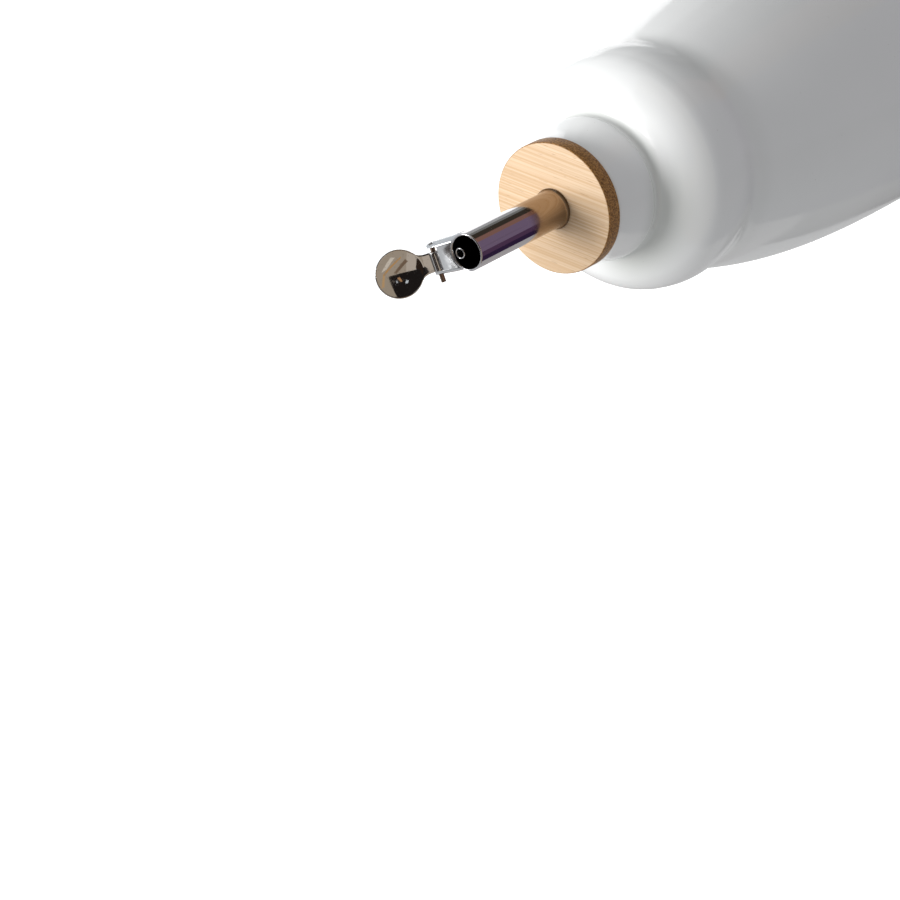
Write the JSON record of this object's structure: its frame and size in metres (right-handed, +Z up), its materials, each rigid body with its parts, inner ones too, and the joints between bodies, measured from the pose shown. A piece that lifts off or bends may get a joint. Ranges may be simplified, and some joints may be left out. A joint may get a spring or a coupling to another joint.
{
  "type": "oil dispenser bottle",
  "caption": "White glazed ceramic oil bottle with a ringed shoulder, a bamboo stopper disc and a steel pouring spout whose hinged flap is open.",
  "frame": {"origin": "middle of the bottle's flat base", "axes": "+Z up along the bottle's axis, +Y towards the spout's hinge, X along the hinge pin; oil is poured over the -Y side of the mouth"},
  "size_m": [0.0776, 0.0776, 0.2147],
  "materials": {
    "white_glaze": "glossy white glaze over ceramic",
    "bamboo": "smooth sanded bamboo with a fine straight grain",
    "polished_steel": "mirror-polished stainless steel"
  },
  "bodies": {
    "root": {"bottle": "white_glaze", "stopper_disc": "bamboo", "spout_tube": "polished_steel", "breather_tube": "polished_steel", "hinge_bracket": "polished_steel", "hinge_pin": "polished_steel"},
    "flap": {"flap": "polished_steel"}
  },
  "joints": [
    {"name": "flap_hinge", "type": "hinge", "parent": "root", "child": "flap", "pos_m": [-0.0006, 0.0104, 0.204], "axis": [1, 0, 0], "range_deg": [0, 130]}
  ]
}
